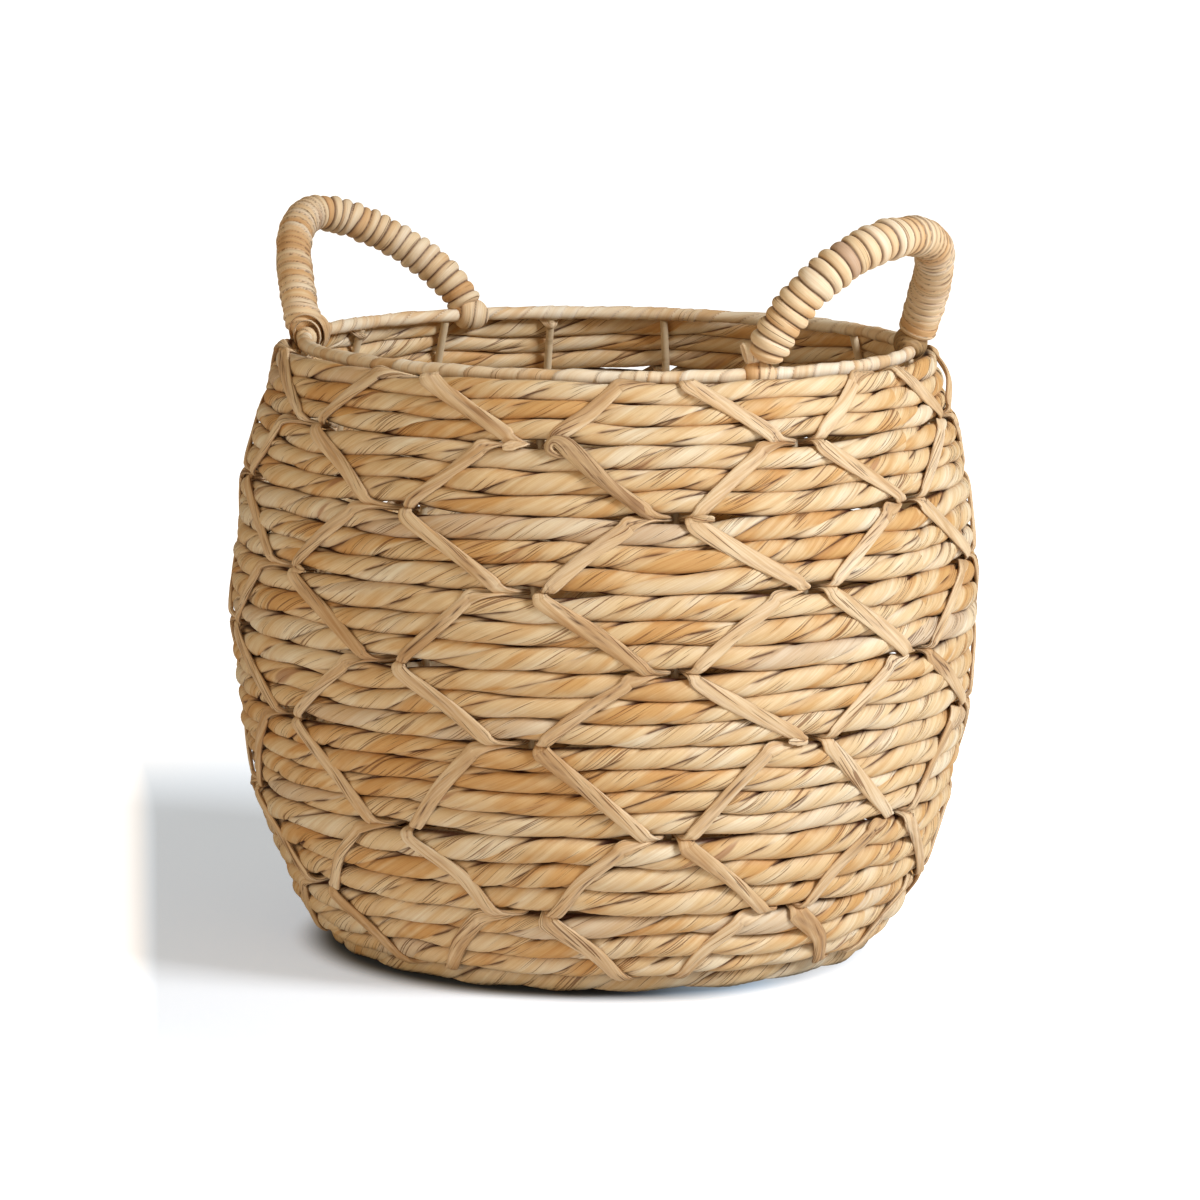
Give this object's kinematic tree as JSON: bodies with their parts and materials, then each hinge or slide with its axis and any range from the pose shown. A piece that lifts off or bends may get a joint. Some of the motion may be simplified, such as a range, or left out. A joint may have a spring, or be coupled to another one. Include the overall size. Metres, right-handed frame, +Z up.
{
  "type": "woven storage basket",
  "caption": "Round bellied storage basket of twisted leaf cord lashed in a diamond net round a wire frame, with two stiff hoop handles that lean outward.",
  "frame": {"origin": "on the floor under the middle of the basket, level with the underside of its base coil", "axes": "+Z up, +X towards the handle that leans less, +Y across, in line with the rim's open side"},
  "size_m": [0.3748, 0.3748, 0.3706],
  "materials": {
    "frame_wire": "satin paint",
    "leaf_cord": "matte dried leaf, twisted",
    "lashing_strip": "matte dried leaf, folded",
    "rim_strip": "matte dried leaf, wound",
    "handle_cord": "matte dried leaf, wound",
    "tie_strip": "matte dried leaf, wound"
  },
  "bodies": {
    "root": {"base_coil": "leaf_cord", "edge_cord": "leaf_cord", "frame_base_cross": "frame_wire", "frame_base_ring": "frame_wire", "frame_rim_ring": "frame_wire", "frame_uprights": "frame_wire", "handle_left_back_tie": "tie_strip", "handle_left_core": "frame_wire", "handle_left_front_tie": "tie_strip", "handle_left_wrap": "handle_cord", "handle_right_back_tie": "tie_strip", "handle_right_core": "frame_wire", "handle_right_front_tie": "tie_strip", "handle_right_wrap": "handle_cord", "lashing_1": "lashing_strip", "lashing_2": "lashing_strip", "lashing_3": "lashing_strip", "lashing_4": "lashing_strip", "lashing_5": "lashing_strip", "lashing_6": "lashing_strip", "lashing_7": "lashing_strip", "lashing_8": "lashing_strip", "rim_wrap": "rim_strip", "wall_cord_01": "leaf_cord", "wall_cord_02": "leaf_cord", "wall_cord_03": "leaf_cord", "wall_cord_04": "leaf_cord", "wall_cord_05": "leaf_cord", "wall_cord_06": "leaf_cord", "wall_cord_07": "leaf_cord", "wall_cord_08": "leaf_cord", "wall_cord_09": "leaf_cord", "wall_cord_10": "leaf_cord", "wall_cord_11": "leaf_cord", "wall_cord_12": "leaf_cord", "wall_cord_13": "leaf_cord", "wall_cord_14": "leaf_cord", "wall_cord_15": "leaf_cord", "wall_cord_16": "leaf_cord", "wall_cord_17": "leaf_cord", "wall_cord_18": "leaf_cord", "wall_cord_19": "leaf_cord", "wall_cord_20": "leaf_cord", "wall_cord_21": "leaf_cord", "wall_cord_22": "leaf_cord", "wall_cord_23": "leaf_cord", "wall_cord_24": "leaf_cord", "wall_cord_25": "leaf_cord"}
  },
  "joints": []
}
